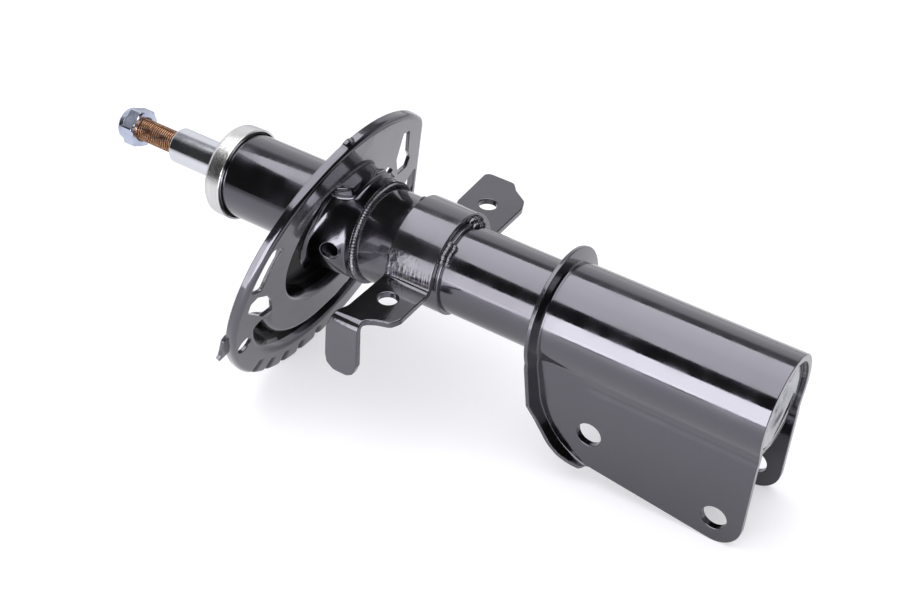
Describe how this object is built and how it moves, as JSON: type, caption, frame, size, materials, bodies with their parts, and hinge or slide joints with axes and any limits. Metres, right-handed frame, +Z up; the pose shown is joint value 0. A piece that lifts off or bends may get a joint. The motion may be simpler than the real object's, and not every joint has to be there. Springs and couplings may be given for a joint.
{
  "type": "suspension strut",
  "caption": "Twin-tube suspension strut with a tilted spring seat, a link bracket and a forked knuckle bracket; its rod slides and turns in the tube.",
  "frame": {"origin": "centre of the upper knuckle bolt, midway between the bracket's ears, with the strut lying on its ears' lower corners and its spring seat's rim", "axes": "+X towards the knuckle end, the strut's axis leaning 3.4 degrees up towards the rod at -X; +Y along the knuckle bolts, away from the hooked ear; +Z up"},
  "size_m": [0.4435, 0.2049, 0.1708],
  "materials": {
    "tube_paint": "glossy black paint",
    "seat_paint": "semi-gloss black dip paint",
    "link_paint": "semi-gloss black dip paint",
    "knuckle_paint": "glossy black paint with orange peel",
    "weld_bead": "black paint over rippled weld",
    "cap_metal": "bright pressed steel",
    "base_metal": "bare steel",
    "rod_chrome": "hard chrome, ground",
    "nut_zinc": "blue zinc plating",
    "insert_metal": "zinc plated locking ring",
    "inner_steel": "oiled steel",
    "sintered_iron": "sintered iron",
    "bush_bronze": "sliding bush",
    "seal_rubber": "nitrile rubber",
    "band_polymer": "filled PTFE"
  },
  "bodies": {
    "strut_tube": {"strut_tube": "tube_paint", "base_cup": "base_metal", "pressure_tube": "inner_steel", "foot_valve": "sintered_iron", "foot_valve_disc": "inner_steel", "foot_valve_pin": "inner_steel", "rod_guide": "sintered_iron", "guide_bush": "bush_bronze", "seal_washer": "inner_steel", "rod_seal": "seal_rubber", "bumper_cap": "cap_metal", "seat_sleeve": "link_paint", "spring_seat": "seat_paint", "seat_weld": "weld_bead", "link_bracket": "link_paint", "link_bracket_welds": "weld_bead", "knuckle_bracket": "knuckle_paint", "saddle_plate": "knuckle_paint", "knuckle_bracket_welds": "weld_bead"},
    "piston_band": {"piston_band": "band_polymer"},
    "rod": {"piston_rod": "rod_chrome", "piston": "sintered_iron", "compression_disc": "inner_steel", "rebound_disc": "inner_steel", "piston_nut": "inner_steel", "rebound_stop": "inner_steel", "rebound_bumper": "seal_rubber", "rod_nut": "nut_zinc", "nut_insert": "insert_metal"}
  },
  "joints": [
    {"name": "rod_travel", "type": "slide", "parent": "strut_tube", "child": "piston_band", "axis": [-0.9983, 0, 0.0586], "range_m": [-0.005, 0.17]},
    {"name": "rod_turn", "type": "hinge", "parent": "piston_band", "child": "rod", "pos_m": [-0.10436, 0, 0.05501], "axis": [-0.9983, 0, 0.0586], "continuous": true}
  ]
}
